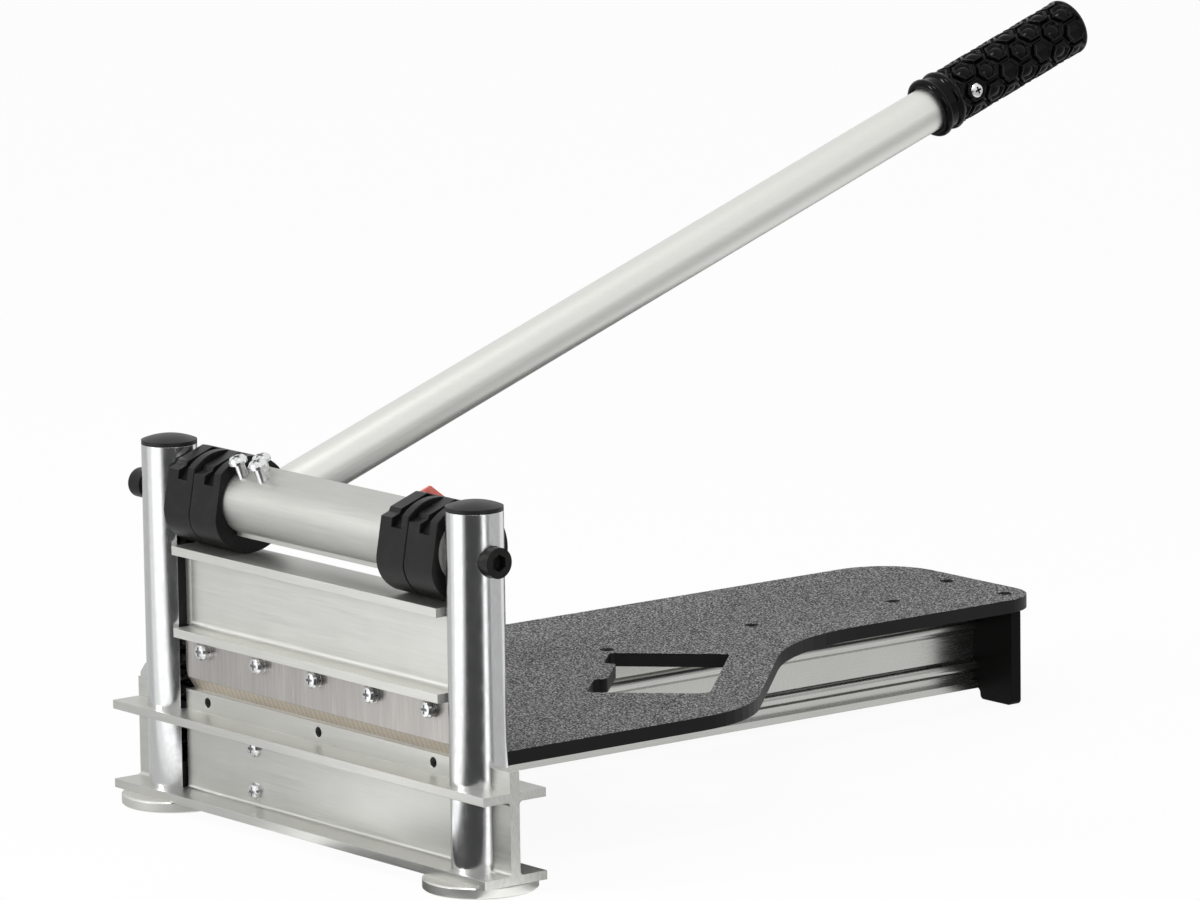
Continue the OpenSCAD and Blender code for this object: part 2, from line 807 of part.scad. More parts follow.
// Least gap between neighbouring curls, over points one curl or more apart
spring_gap = min([for (i = [0 : spring_steps - spring_rings])
    norm(spring_point(i + spring_rings) - spring_point(i))]) - spring_wire_d;

// One unbroken tube: a ring of points square to the helix at each step
module lift_spring(side) {
    echo(spring_least_gap = spring_gap);
    points = [for (i = [0 : spring_steps], j = [0 : spring_sides - 1])
        let (
            out = [cos(360 * i / spring_rings), sin(360 * i / spring_rings), 0],
            turn = 360 * j / spring_sides
        )
        spring_point(i) + spring_wire_d / 2 * (cos(turn) * out + [0, 0, sin(turn)])];
    sides = [for (i = [0 : spring_steps - 1], j = [0 : spring_sides - 1])
        let (
            a = i * spring_sides + j,
            b = i * spring_sides + (j + 1) % spring_sides
        )
        each [[a, a + spring_sides, b + spring_sides], [a, b + spring_sides, b]]];
    first = [for (j = [1 : spring_sides - 2]) [0, j, j + 1]];
    base = spring_steps * spring_sides;
    last = [for (j = [1 : spring_sides - 2]) [base, base + j + 1, base + j]];
    translate([side * post_x, 0, 0]) polyhedron(points, concat(sides, first, last));
}

module left_lift_spring() {
    color("gray") placed() lift_spring(-1);
}

module right_lift_spring() {
    color("gray") placed() lift_spring(1);
}

// Section of the crossbar, drawn about the bar's axis in the frame of the beam.
// A margin widens it for the bores of the cams.
module bar_section(margin) {
    rib_low = bar_z - sqrt(bar_r * bar_r - bar_y * bar_y) - groove_depth / 3;
    translate([bar_y, bar_z]) {
        circle(r = bar_r + margin, $fn = 96);
        rotate(lever_rise) square([pad_reach + margin, pad_height + margin]);
    }
    translate([-rib_w / 2 - margin, rib_low - margin]) square([rib_w + 2 * margin, bar_z - rib_low]);
}

module crossbar() {
    rib_low = bar_z - sqrt(bar_r * bar_r - bar_y * bar_y) - groove_depth / 3;
    color("gainsboro") placed() difference() {
        along_x(-bar_half, 2 * bar_half)
            difference() {
                bar_section(0);
                difference() {
                    translate([bar_y, bar_z]) circle(r = bar_r - bar_wall, $fn = 96);
                    translate([0, pivot_z]) circle(r = boss_r);
                }
                translate([0, pivot_z]) circle(r = pivot_d / 2 + fit_gap);
                translate([-rib_w / 2 - groove_w, rib_low - over])
                    square([groove_w, groove_depth + over]);
            }
        lever_frame() {
            rod_y(clamp_x, -lever_inset, lever_lift, lever_r + fit_gap, lever_reach);
            clamp_places() cylinder(h = bar_d, d = clamp_screw_d + 2 * fit_gap);
        }
    }
}

// Two clamp screws in front and one behind them, on the plane of the pad in the lever's frame.
// The level of each is its head's height above the pad.
module clamp_places() {
    for (side = [-1, 1])
        translate([clamp_x + side * clamp_spread, -clamp_ahead, 0]) children();
    translate([clamp_x, clamp_step - clamp_ahead, 0]) children();
}

module clamp_screws() {
    side_depth = sqrt(pow(lever_r, 2) - pow(clamp_spread - clamp_screw_d / 2, 2)) + lever_lift;
    front_z = pad_height + clamp_proud;
    rear_z = pad_height + clamp_rear_proud;
    color("silver") placed() lever_frame() {
        for (side = [-1, 1])
            translate([clamp_x + side * clamp_spread, -clamp_ahead, front_z])
                pan_screw(clamp_screw_d, clamp_head_d, clamp_head_h, front_z - side_depth - seat_gap);
        translate([clamp_x, clamp_step - clamp_ahead, rear_z])
            pan_screw(clamp_screw_d, clamp_head_d, clamp_head_h, rear_z - lever_r - lever_lift - seat_gap);
    }
}

// Full outline of a cam: working flank in front and below, ring behind and above
module cam_outline() {
    flank = [for (angle = [flank_low : -cam_step : flank_high]) flank_point(angle)];
    crown = [for (angle = [crown_start : -cam_step : flank_low + cam_step])
        cam_middle + polar(cam_r, angle)];
    translate([0, pivot_z]) polygon(concat(flank, crown));
}

// Part of the outline that the flat strap keeps, with the low step at its tip
module strap_keep() {
    low = strap_height - strap_step_h;
    translate([bar_y, bar_z]) rotate(lever_rise)
        polygon([[-cam_r * 2, -cam_r * 2], [-cam_r * 2, low], [-strap_step_at, low],
            [-strap_step_at + strap_ramp, strap_height], [cam_r * 2, strap_height],
            [cam_r * 2, -cam_r * 2]]);
}

// Channel beside the strap, down to a thin floor over the bar
module channel_cut() {
    difference() {
        intersection() {
            translate([-cam_r * 2, bar_z + channel_lip]) square([cam_r * 4, cam_r * 2]);
            translate([bar_y, bar_z]) rotate(lever_rise)
                translate([-cam_r * 2, 0]) square([cam_r * 2 + channel_end, cam_r * 2]);
        }
        translate([bar_y, bar_z]) circle(r = bar_r + channel_floor);
        translate([bar_y, bar_z]) rotate(lever_rise)
            square([pad_reach + channel_floor, pad_height + channel_floor]);
    }
}

module cam(x) {
    difference() {
        union() {
            along_x(x, strap_w) intersection() {
                cam_outline();
                strap_keep();
            }
            along_x(x + strap_w, channel_w) difference() {
                cam_outline();
                channel_cut();
            }
            along_x(x + strap_w + channel_w, cam_w - strap_w - channel_w) cam_outline();
        }
        along_x(x - over, cam_w + 2 * over) bar_section(seat_gap);
    }
}

module left_outer_cam() {
    color("dimgray") placed() cam(-cam_outer_x);
}

module left_inner_cam() {
    color("dimgray") placed() cam(-cam_inner_x - cam_w);
}

module right_inner_cam() {
    color("dimgray") placed() cam(cam_inner_x);
}

module right_outer_cam() {
    color("dimgray") placed() cam(cam_outer_x - cam_w);
}

// Socket head bolt along X with its bearing face at x = 0 and its shank towards negative x
module socket_bolt() {
    rod_x(-pivot_len, 0, 0, pivot_d / 2, pivot_len);
    difference() {
        rod_x(0, 0, 0, socket_head_d / 2, socket_head_h);
        translate([socket_head_h - socket_depth, 0, 0]) rotate([0, 90, 0])
            cylinder(h = socket_depth + over, d = socket_af / cos(30), $fn = 6);
    }
}

module left_pivot_bolt() {
    color("dimgray") placed()
        translate([-post_x - post_r - left_standoff, 0, pivot_z]) mirror([1, 0, 0]) socket_bolt();
}

module right_pivot_bolt() {
    color("dimgray") placed() translate([post_x + sleeve_half + fit_gap, 0, pivot_z]) socket_bolt();
}

// Sleeve that keeps the walls of a post apart around its pivot bolt
module pivot_sleeve(side) {
    translate([side * post_x, 0, pivot_z]) difference() {
        rod_x(-sleeve_half, 0, 0, sleeve_r, 2 * sleeve_half);
        rod_x(-sleeve_half - over, 0, 0, pivot_d / 2 + seat_gap, 2 * sleeve_half + 2 * over);
    }
}

module left_pivot_sleeve() {
    color("silver") placed() pivot_sleeve(-1);
}

module right_pivot_sleeve() {
    color("silver") placed() pivot_sleeve(1);
}

module lever_tube() {
    tube_len = lever_inset + lever_reach - grip_end_t - seat_gap;
    color("lightgray") placed() lever_frame() difference() {
        rod_y(clamp_x, -lever_inset, lever_lift, lever_r, tube_len);
        rod_y(clamp_x, -lever_inset - over, lever_lift, lever_r - lever_wall, tube_len + 2 * over);
        grip_screw_place() cylinder(h = 2 * lever_r, d = grip_screw_d + 2 * seat_gap);
    }
}

// Seat of the grip's screw: on the tube's axis, looking outwards
module grip_screw_place() {
    translate([clamp_x, grip_start + grip_screw_at, lever_lift])
        rotate([0, 90 - grip_screw_angle, 0]) children();
}

// Half section of the grip: radius to the right, distance along the lever upwards
module grip_section() {
    bore = lever_r + seat_gap;
    body_start = grip_start + ring_w / 2 + ring_pitch;
    rim_r = grip_rim_d / 2;
    translate([bore, grip_start + ring_w / 4])
        square([ring_waist_d / 2 - bore, body_start - grip_start]);
    translate([ring_one_d / 2 - ring_w / 2, grip_start + ring_w / 2]) circle(d = ring_w);
    translate([ring_two_d / 2 - ring_w / 2, body_start]) circle(d = ring_w);
    translate([bore, body_start]) square([grip_d / 2 - bore, lever_reach - grip_rim_r - body_start]);
    translate([0, lever_reach - grip_end_t]) square([rim_r - grip_rim_r, grip_end_t]);
    translate([bore, lever_reach - 2 * grip_rim_r]) square([rim_r - bore, grip_rim_r]);
    translate([rim_r - grip_rim_r, lever_reach - grip_rim_r]) circle(r = grip_rim_r);
}

module grip() {
    color("dimgray") placed() lever_frame() difference() {
        translate([clamp_x, 0, lever_lift]) rotate([-90, 0, 0])
            rotate_extrude($fn = 96)
                difference() {
                    grip_section();
                    square([lever_r + seat_gap, lever_reach - grip_end_t]);
                }
        grip_screw_place() {
            cylinder(h = grip_d, d = grip_screw_d + 2 * seat_gap);
            translate([0, 0, grip_d / 2 - grip_screw_sink]) cylinder(h = grip_d, d = grip_head_d + 2 * seat_gap);
        }
    }
}

module grip_screw() {
    color("silver") placed() lever_frame() grip_screw_place()
        translate([0, 0, grip_d / 2 - grip_screw_sink])
            pan_screw(grip_screw_d, grip_head_d, grip_head_h, grip_screw_len);
}

// Board: wide in front, narrow behind, with one slanted edge between
module board_outline() {
    slant_sum = board_slant * sqrt(2);
    corners = [[-board_left, board_y], [board_right, board_y],
        [board_right, slant_sum - board_right], [-board_waist, slant_sum + board_waist],
        [-board_waist, board_rear], [-board_left, board_rear]];
    radii = [window_r, window_r, bend_outer_r, bend_inner_r, corner_right_r, corner_left_r];
    polygon(rounded(corners, radii));
}

module window_outline() {
    far = window_near + window_w;
    tab_edge = window_near + tab_len;
    end = window_start + window_len;
    tab_low = window_start + tab_start;
    tab_high = tab_low + tab_w;
    r = window_r;
    corners = [slanted(far, window_start), slanted(far, end), slanted(window_near, end),
        slanted(window_near, tab_high), slanted(tab_edge, tab_high), slanted(tab_edge, tab_low),
        slanted(window_near, tab_low), slanted(window_near, window_start)];
    polygon(rounded(corners, [window_big_r, r, r, r, r, r, r, r]));
}

module table_screw_places() {
    for (i = [0 : table_screw_count - 1])
        translate([-rail_left, table_screw_last - i * table_screw_pitch, board_top_z - sink]) children();
    for (side = [-1, 1])
        translate([-rail_left + side * rear_screw_pitch / 2, rear_y + rear_t / 2, board_top_z - sink])
            children();
}

module table_board() {
    color("dimgray") placed() difference() {
        translate([0, 0, board_z]) linear_extrude(board_t)
            difference() {
                board_outline();
                window_outline();
            }
        table_screw_places() flat_hole(table_screw_d, table_head_d, table_head_h, table_screw_len);
        for (step = [-1 : 1])
            rod_y(step * lip_hole_pitch, board_y - over, beam_top_z + lip_hole_rise, lip_hole_d / 2,
                pilot_depth + over);
        for (side = [-1, 1])
            translate([side * post_x, 0, board_z - over])
                cylinder(h = board_t + 2 * over, r = post_r + run_gap);
    }
}

module table_screws() {
    color("dimgray") placed()
        table_screw_places() flat_screw(table_screw_d, table_head_d, table_head_h, table_screw_len);
}

// Rail: a thin wall with screw beads, a flat top and a flat foot
module rail_section() {
    translate([-rail_left, 0]) {
        translate([-rail_wall / 2, foot_t]) square([rail_wall, beam_h + board_lift]);
        translate([-rail_w / 2, board_z - rail_top_h]) square([rail_w, rail_top_h]);
        translate([-rail_w / 2, foot_t]) square([rail_w, rail_foot_h]);
        for (z = [bead_low, bead_high])
            translate([0, z]) circle(r = bead_d / 2);
    }
}

module rail() {
    notch_y = beam_depth / 2 + seat_gap;
    notch_h = beam_flange_t + beam_fillet_r;
    color("lightgray") placed() difference() {
        along_y(beam_web_t / 2, rear_y - beam_web_t / 2) difference() {
            rail_section();
            for (z = [bead_low, bead_high])
                translate([-rail_left, z]) circle(r = web_screw_d / 2 + bead_bore_gap);
        }
        for (z = [foot_t - over, beam_top_z - notch_h])
            translate([-rail_left - rail_w, -over, z])
                cube([2 * rail_w, notch_y + over, notch_h + board_lift + over]);
        table_screw_places()
            translate([0, 0, -table_screw_len - over])
                cylinder(h = table_screw_len + over, d = table_screw_d + 2 * fit_gap);
    }
}

module web_screws() {
    color("silver") placed()
        for (z = [bead_low, bead_high])
            translate([-rail_left, -beam_web_t / 2, z]) rotate([90, 0, 0])
                pan_screw(web_screw_d, web_head_d, web_head_h, beam_web_t + web_screw_reach);
}

// Rear foot: an upright plate, level with the rail's foot on the left and with a sole on the right
module rear_foot() {
    half = rear_w / 2;
    step_r = min(rear_r, foot_t * step_share);
    corners = [[-half, foot_t], [half - sole_w, foot_t], [half - sole_w, 0], [half, 0],
        [half, board_z], [-half, board_z]];
    radii = [rear_r, step_r, step_r, rear_r, window_r, window_r];
    color("dimgray") placed() difference() {
        translate([-rail_left, 0, 0]) along_y(rear_y, rear_t) polygon(rounded(corners, radii));
        for (z = [bead_low, bead_high])
            rod_y(-rail_left, rear_y - over, z, web_screw_d / 2 + seat_gap, rear_t + 2 * over);
        table_screw_places()
            translate([0, 0, -table_screw_len - over])
                cylinder(h = table_screw_len + over, d = table_screw_d + 2 * fit_gap);
    }
}

module rear_foot_screws() {
    color("silver") placed()
        for (z = [bead_low, bead_high])
            translate([-rail_left, rear_y + rear_t, z]) rotate([-90, 0, 0])
                pan_screw(web_screw_d, web_head_d, web_head_h, rear_t + rear_bolt_reach);
}

// Thin red tab on the crown of the right inner cam, with a leaning front edge
module red_tab() {
    low = cam_r + seat_gap;
    top = low + red_h;
    color("tomato") placed()
        along_x(cam_inner_x + red_inset, red_t)
            translate([0, pivot_z]) translate(cam_middle) rotate(red_angle)
                difference() {
                    polygon(rounded([[0, -red_back], [top, -red_back], [top, red_front],
                        [0, red_front + top * red_lean_share]], [red_r, red_r, red_r, red_r]));
                    circle(r = low, $fn = 96);
                }
}

// Sloped tab on the left end of the lip
module lip_end_tab() {
    end = -beam_len / 2;
    color("silver") placed()
        along_y(-end_tab_t / 2, end_tab_t)
            polygon(rounded([[end, lip_top_z], [end + end_tab_len, lip_top_z],
                [end + end_tab_len, lip_top_z + end_tab_foot_h],
                [end + end_tab_len / 2, lip_top_z + end_tab_h],
                [end, lip_top_z + end_tab_foot_h]],
                [end_tab_foot_h / 4, end_tab_foot_h / 4, end_tab_foot_h / 4, end_tab_nose_r,
                    end_tab_foot_h / 4]));
}

lower_beam();
left_post();
right_post();
left_post_cap();
right_post_cap();
left_foot_disc();
right_foot_disc();
foot_screws();
left_post_plug();
right_post_plug();
blade_carrier();
blade();
blade_screws();
blade_washers();
blade_split_washers();
left_guide_shoe();
right_guide_shoe();
left_lift_spring();
right_lift_spring();
crossbar();
left_outer_cam();
left_inner_cam();
right_inner_cam();
right_outer_cam();
left_pivot_bolt();
right_pivot_bolt();
left_pivot_sleeve();
right_pivot_sleeve();
lever_tube();
grip();
grip_screw();
clamp_screws();
table_board();
table_screws();
rail();
web_screws();
rear_foot();
rear_foot_screws();
red_tab();
lip_end_tab();
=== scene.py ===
import math

import bpy
import numpy as np
from mathutils import Matrix, Vector


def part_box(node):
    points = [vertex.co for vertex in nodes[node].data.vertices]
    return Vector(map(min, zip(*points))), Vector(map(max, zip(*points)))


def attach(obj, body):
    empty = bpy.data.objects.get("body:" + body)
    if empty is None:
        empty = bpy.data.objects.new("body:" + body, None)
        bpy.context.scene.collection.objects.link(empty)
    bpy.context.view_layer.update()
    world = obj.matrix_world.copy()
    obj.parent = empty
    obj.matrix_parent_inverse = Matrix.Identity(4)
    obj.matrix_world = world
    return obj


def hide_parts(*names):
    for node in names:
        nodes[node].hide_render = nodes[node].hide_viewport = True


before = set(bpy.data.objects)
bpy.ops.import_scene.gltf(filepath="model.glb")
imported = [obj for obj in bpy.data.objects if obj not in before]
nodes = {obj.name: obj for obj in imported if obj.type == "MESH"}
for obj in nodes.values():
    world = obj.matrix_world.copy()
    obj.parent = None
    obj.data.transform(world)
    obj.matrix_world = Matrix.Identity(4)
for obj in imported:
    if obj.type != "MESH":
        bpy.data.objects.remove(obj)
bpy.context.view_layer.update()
millimetre = 0.001
postLow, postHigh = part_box("left_post")
beamMiddle = (postLow.y + postHigh.y) / 2  # the posts stand on the middle of the beam
bpy.context.scene.view_settings.view_transform = "Standard"

# The camera comes first: a long lens, seen from the front right
cameraSettings = {
    "place": (3.2300, -2.3441, 0.9065),  # counted from the middle of the beam
    "azimuth": 51.917,
    "elevation": 9.942,
    "roll": 0.805,
    "lens": 233.28,
    "sensor": 36,
    "reach": 60,
}


def makeCamera(settings):
    print("camera")
    azimuth = math.radians(settings["azimuth"])
    elevation = math.radians(settings["elevation"])
    roll = math.radians(settings["roll"])
    level = Vector((math.cos(azimuth), math.sin(azimuth), 0))
    back = Vector((math.sin(azimuth) * math.cos(elevation),
                   -math.cos(azimuth) * math.cos(elevation), math.sin(elevation)))
    rise = back.cross(level)
    right = math.cos(roll) * level - math.sin(roll) * rise
    up = math.sin(roll) * level + math.cos(roll) * rise
    lens = bpy.data.cameras.new("camera")
    lens.lens = settings["lens"]
    lens.sensor_width = settings["sensor"]
    lens.clip_end = settings["reach"]
    camera = bpy.data.objects.new("camera", lens)
    bpy.context.scene.collection.objects.link(camera)
    turn = Matrix((right, up, back)).transposed().to_4x4()
    place = Vector(settings["place"]) + Vector((0, beamMiddle, 0))
    camera.matrix_world = Matrix.Translation(place) @ turn
    bpy.context.scene.camera = camera


makeCamera(cameraSettings)


# Shader sockets that add their own Math nodes when they are used in sums
class Socket:
    def __init__(self, shop, socket):
        self.shop = shop
        self.socket = socket

    def maths(self, operation, first, second):
        return self.shop.add("ShaderNodeMath", {"operation": operation}, {0: first, 1: second})

    def __add__(self, other):
        return self.maths("ADD", self, other)

    def __radd__(self, other):
        return self.maths("ADD", other, self)

    def __sub__(self, other):
        return self.maths("SUBTRACT", self, other)

    def __rsub__(self, other):
        return self.maths("SUBTRACT", other, self)

    def __mul__(self, other):
        return self.maths("MULTIPLY", self, other)

    def __rmul__(self, other):
        return self.maths("MULTIPLY", other, self)

    def __gt__(self, other):
        return self.maths("GREATER_THAN", self, other)

    def __lt__(self, other):
        return self.maths("LESS_THAN", self, other)

    def __abs__(self):
        return self.shop.add("ShaderNodeMath", {"operation": "ABSOLUTE"}, {0: self})


# The nodes of a material or of the world, all made by one method
class NodeShop:
    def __init__(self, tree):
        self.tree = tree

    def add(self, kind, settings=None, inputs=None, output=0):
        node = self.tree.nodes.new(kind)
        for key, value in (settings or {}).items():
            if key == "stops":
                for place, shade in value[2:]:
                    node.color_ramp.elements.new(place)
                for element, (place, shade) in zip(node.color_ramp.elements, value):
                    element.position = place
                    element.color = grey(shade)
            else:
                setattr(node, key, value)
        for key, value in (inputs or {}).items():
            self.feed(node.inputs[key], value)
        return Socket(self, node.outputs[output])

    def feed(self, target, value):
        if isinstance(value, Socket):
            self.tree.links.new(value.socket, target)
        else:
            target.default_value = value

    # The value between two levels, carried over to two results
    def grade(self, value, levels, results=(0.0, 1.0)):
        return self.add("ShaderNodeMapRange", None,
                        {0: value, 1: levels[0], 2: levels[1], 3: results[0], 4: results[1]})

    # 1 for what the camera or a mirror sees, 0 for the light that falls on the cutter
    def seen(self):
        return (self.add("ShaderNodeLightPath", output="Is Camera Ray")
                + self.add("ShaderNodeLightPath", output="Is Glossy Ray"))

    def glow(self, strength):
        return self.add("ShaderNodeEmission", None, {"Color": grey(1), "Strength": strength})


class Finish(NodeShop):
    inputNames = {"colour": "Base Color", "roughness": "Roughness", "metallic": "Metallic",
                  "normal": "Normal", "ior": "IOR", "specular": "Specular IOR Level"}

    def __init__(self, name, **values):
        self.material = bpy.data.materials.new(name)
        self.material.use_nodes = True
        super().__init__(self.material.node_tree)
        self.shader = self.tree.nodes["Principled BSDF"]
        self.set(**values)

    # Sets inputs of the surface: metallic=1.0, or colour=a socket
    def set(self, **values):
        for name, value in values.items():
            self.feed(self.shader.inputs[self.inputNames[name]], value)

    def show(self, surface):
        self.feed(self.tree.nodes["Material Output"].inputs["Surface"], surface)

    def spot(self, scale=(1, 1, 1), turn=(0, 0, 0)):
        place = self.add("ShaderNodeTexCoord", output="Object")
        return self.add("ShaderNodeMapping", None,
                        {"Vector": place, "Scale": scale, "Rotation": turn})

    def axis(self, letter):
        return self.add("ShaderNodeSeparateXYZ", None, {0: self.spot()}, letter)

    def noise(self, size, stretch=(1, 1, 1), detail=2.0, roughness=0.5, turn=(0, 0, 0)):
        return self.add("ShaderNodeTexNoise", None,
                        {"Vector": self.spot(stretch, turn), "Scale": 1 / size,
                         "Detail": detail, "Roughness": roughness})

    # Sockets 6 and 7 and output 2 are the Mix node's colour ones
    def mix(self, factor, first, second):
        return self.add("ShaderNodeMix", {"data_type": "RGBA"},
                        {0: factor, 6: first, 7: second}, 2)

    def rounded(self, radius):
        return self.add("ShaderNodeBevel", {"samples": 4}, {"Radius": radius})

    def bump(self, height, depth, strength, normal=None):
        inputs = {"Height": height, "Distance": depth, "Strength": strength}
        if normal is not None:
            inputs["Normal"] = normal
        return self.add("ShaderNodeBump", None, inputs)


def grey(value, warm=0.0):
    return (value * (1 + warm), value, value * (1 - warm), 1)


# Bare aluminium is a little yellow
def aluminium(value, blue=0.955):
    return (value, value, value * blue, 1)


# Extruded aluminium: fine die lines along one axis, a few soft stains, sawn ends
extrudedSettings = {
    "lines": {"size": 0.0006, "detail": 3.0, "roughness": 0.6},
    "lineShare": 0.02,  # how much the lines change along the piece
    "lineLevels": (0.3, 0.7),
    "lineTones": (-0.035, 0.02),  # added to the piece's own tone
    "stains": {"size": 0.045, "detail": 3.0, "roughness": 0.6},
    "stainLevels": (0.45, 0.8),
    "stainShares": (0.0, 0.35),
    "stainTone": -0.09,
    "roughLevels": (0.25, 0.75),
    "roughChange": (-0.05, 0.07),
    "saw": {"size": 0.0009, "stretch": (1, 1, 0.25), "detail": 4.0, "roughness": 0.7},
    "sawBefore": (0.0003, 0.0001),  # the saw marks fade in this far before the end
    "sawTones": (0.4, 0.8),
    "sawRoughness": 0.18,
    "sawHeight": 4,
    "depth": 0.00003,
    "edge": 0.0004,
}


def extruded(name, along, tone, roughness, ends=None, relief=0.35):
    settings = extrudedSettings
    finish = Finish(name, metallic=1.0)
    stretch = tuple(settings["lineShare"] if letter == along else 1 for letter in "XYZ")
    lines = finish.noise(stretch=stretch, **settings["lines"])
    stains = finish.noise(**settings["stains"])
    dark, light = [aluminium(tone + change) for change in settings["lineTones"]]
    colour = finish.mix(finish.grade(lines, settings["lineLevels"]), dark, light)
    stained = finish.grade(stains, settings["stainLevels"], settings["stainShares"])
    colour = finish.mix(stained, colour, aluminium(tone + settings["stainTone"]))
    rough = finish.grade(lines, settings["roughLevels"],
                         [roughness + change for change in settings["roughChange"]])
    height = lines
    if ends is not None:
        cut = finish.grade(abs(finish.axis(along)),
                           [ends - before for before in settings["sawBefore"]])
        saw = finish.noise(**settings["saw"])
        dark, light = [aluminium(shade) for shade in settings["sawTones"]]
        colour = finish.mix(cut, colour, finish.mix(saw, dark, light))
        rough = rough + cut * settings["sawRoughness"]
        height = lines + cut * saw * settings["sawHeight"]
    edges = finish.rounded(settings["edge"])
    finish.set(colour=colour, roughness=rough,
               normal=finish.bump(height, settings["depth"], relief, edges))
    return finish.material


# Bright zinc: nearly a mirror, clouded by fine crystals
zincSettings = {
    "cloud": {"size": 0.004, "stretch": (1, 1, 0.5), "detail": 4.0, "roughness": 0.65},
    "grain": {"size": 0.0007, "stretch": (1, 1, 0.6), "detail": 2.0, "roughness": 0.6},
    "grainShare": 0.5,
    "cloudLevels": (0.35, 0.75),
    "cloudTone": -0.07,
    "warmth": -0.01,
    "roughLevels": (0.3, 0.75),
    "roughChange": (-0.03, 0.09),
    "depth": 0.00004,
    "relief": 0.3,
    "edge": 0.0003,
}


def brightZinc(name, tone, roughness):
    settings = zincSettings
    finish = Finish(name, metallic=1.0)
    cloud = finish.noise(**settings["cloud"])
    grain = finish.noise(**settings["grain"])
    colour = finish.mix(finish.grade(cloud, settings["cloudLevels"]),
                        grey(tone, settings["warmth"]), grey(tone + settings["cloudTone"]))
    rough = finish.grade(cloud, settings["roughLevels"],
                         [roughness + change for change in settings["roughChange"]])
    height = cloud + grain * settings["grainShare"]
    edges = finish.rounded(settings["edge"])
    finish.set(colour=colour, roughness=rough,
               normal=finish.bump(height, settings["depth"], settings["relief"], edges))
    return finish.material


# Moulded black plastic: fine skin, faint scuffs, and a groove where two cam rings meet
mouldedSettings = {
    "skin": {"size": 0.0005, "detail": 3.0, "roughness": 0.6},
    "wear": {"size": 0.012, "detail": 5.0, "roughness": 0.7},
    "wearLevels": (0.5, 0.85),
    "wearWarmth": 0.02,
    "roughLevels": (0.3, 0.8),
    "roughChange": (-0.05, 0.12),
    "grooveLevels": (0.0001, 0.0011),
    "grooveDepth": 0.0008,
    "grooveRelief": 1.0,
    "depth": 0.00002,
    "relief": 0.6,
    "edge": 0.0006,
    "ior": 1.5,
}


def moulded(name, tone, roughness, scuff, shine, parting=None):
    settings = mouldedSettings
    finish = Finish(name, ior=settings["ior"], specular=shine)
    skin = finish.noise(**settings["skin"])
    wear = finish.noise(**settings["wear"])
    colour = finish.mix(finish.grade(wear, settings["wearLevels"]),
                        grey(tone), grey(tone + scuff, settings["wearWarmth"]))
    rough = finish.grade(wear, settings["roughLevels"],
                         [roughness + change for change in settings["roughChange"]])
    surface = finish.rounded(settings["edge"])
    if parting is not None:
        away = finish.grade(abs(abs(finish.axis("X")) - parting), settings["grooveLevels"])
        surface = finish.bump(away, settings["grooveDepth"], settings["grooveRelief"], surface)
    finish.set(colour=colour, roughness=rough,
               normal=finish.bump(skin, settings["depth"], settings["relief"], surface))
    return finish.material


# Dark board: light speckles in a rough skin on top, plain black edges
boardSettings = {
    "fleck": {"size": 0.0011, "detail": 2.0, "roughness": 0.65},
    "fleckStops": [(0.41, 0.006), (0.51, 0.058), (0.61, 0.5)],
    "cloud": {"size": 0.03, "detail": 2.0, "roughness": 0.5},
    "cloudLevels": (0.3, 0.8),
    "cloudShares": (0.0, 0.15),
    "cloudTone": 0.16,
    "edge": {"size": 0.002, "stretch": (1, 1, 3)},
    "edgeTones": (0.003, 0.009),
    "skin": 0.00005,  # how thick the speckled skin is
    "edgeRoughness": 0.5,
    "skinRoughness": 0.15,  # added to the edge's
    "depth": 0.0002,
    "relief": 0.5,
    "corner": 0.0004,
    "ior": 1.45,
    "shine": 0.2,
}


def speckledBoard(name, top):
    settings = boardSettings
    finish = Finish(name, ior=settings["ior"], specular=settings["shine"])
    fleck = finish.noise(**settings["fleck"])
    cloud = finish.noise(**settings["cloud"])
    speckled = finish.add("ShaderNodeValToRGB", {"stops": settings["fleckStops"]}, {0: fleck})
    clouded = finish.grade(cloud, settings["cloudLevels"], settings["cloudShares"])
    speckled = finish.mix(clouded, speckled, grey(settings["cloudTone"]))
    dark, light = [grey(shade) for shade in settings["edgeTones"]]
    edge = finish.mix(finish.noise(**settings["edge"]), dark, light)
    upper = finish.axis("Z") > top - settings["skin"]
    corners = finish.rounded(settings["corner"])
    finish.set(colour=finish.mix(upper, edge, speckled),
               roughness=settings["edgeRoughness"] + upper * settings["skinRoughness"],
               normal=finish.bump(fleck * upper, settings["depth"], settings["relief"], corners))
    return finish.material


# Ground blade: lines across its length, a warmer bevel with waves along the edge
bladeSettings = {
    "bevel": 6.3 * millimetre,
    "bevelFade": (-0.0004, -0.0001),  # counted from the bevel's upper edge
    "lines": {"size": 0.0007, "stretch": (1, 1, 0.03), "detail": 3.0, "roughness": 0.65},
    "broad": {"size": 0.012, "stretch": (1, 1, 0.15), "detail": 2.0, "roughness": 0.5},
    "broadShare": 0.6,
    "frontLevels": (0.5, 1.1),
    "frontDark": (0.37, 0.03),  # tone and warmth
    "frontLight": (0.52, 0.05),
    "waveScale": 75.0,
    "waveBend": 1.2,
    "waveHeight": 0.5,
    "bevelDark": (0.6, 0.535, 0.45, 1),
    "bevelLight": (0.69, 0.635, 0.555, 1),
    "roughLevels": (0.3, 0.7),
    "roughness": (0.3, 0.42),
    "depth": 0.00004,
    "relief": 0.45,
    "corner": 0.0002,
}


